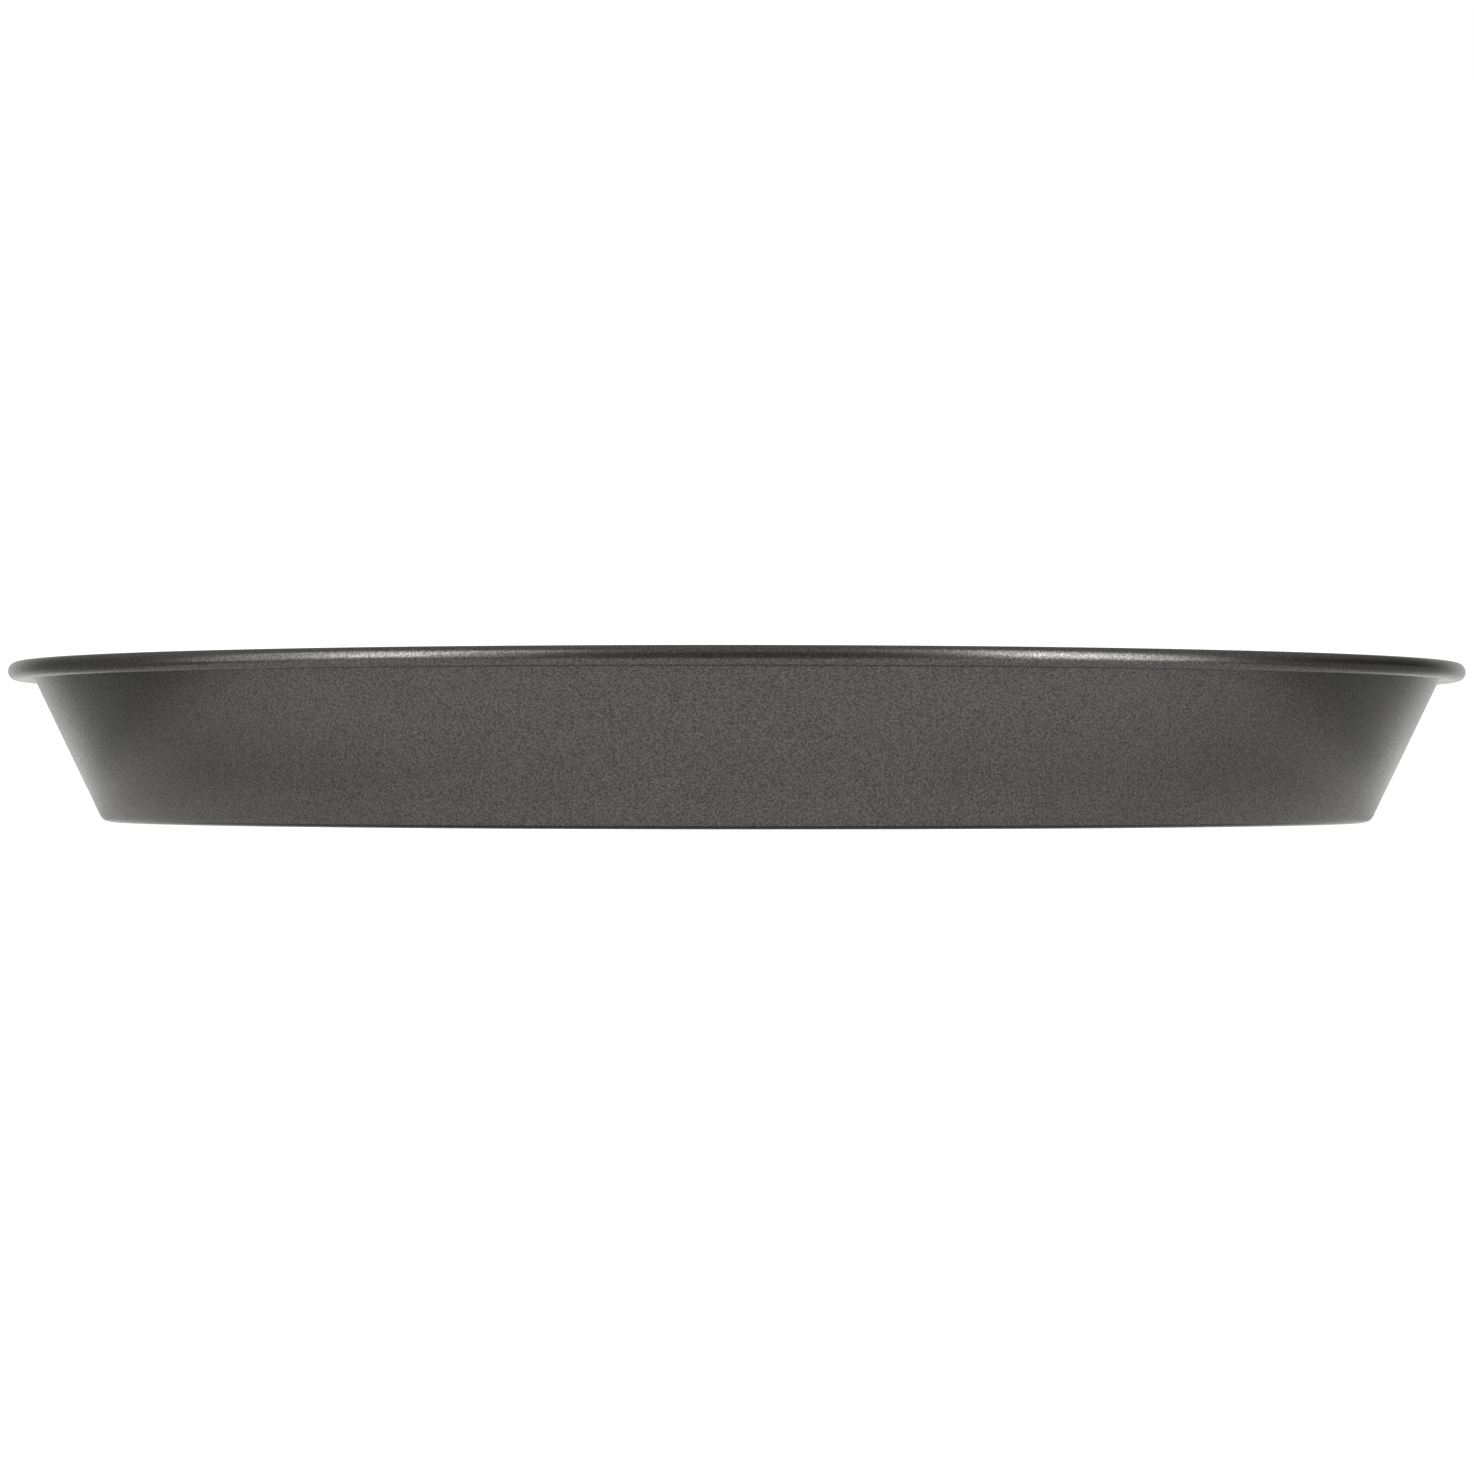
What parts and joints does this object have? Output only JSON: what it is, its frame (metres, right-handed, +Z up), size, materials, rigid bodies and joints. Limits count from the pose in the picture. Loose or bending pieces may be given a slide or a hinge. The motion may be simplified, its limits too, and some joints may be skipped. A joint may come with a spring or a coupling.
{
  "type": "round baking pan",
  "caption": "Round deep-dish baking pan with a flat floor, sloping wall and wired, rolled rim, in dark grey non-stick steel.",
  "frame": {"origin": "middle of the flat underside, on the surface that the pan stands on", "axes": "+Z up along the pan's axis; the pan is round, so X and Y are free, and -Y is the side that faces the viewer"},
  "size_m": [0.3556, 0.3556, 0.0384],
  "materials": {
    "coated_steel": "satin dark grey metallic non-stick coating",
    "bare_wire": "drawn steel wire"
  },
  "bodies": {
    "root": {"pan_shell": "coated_steel", "rim_wire": "bare_wire"}
  },
  "joints": []
}
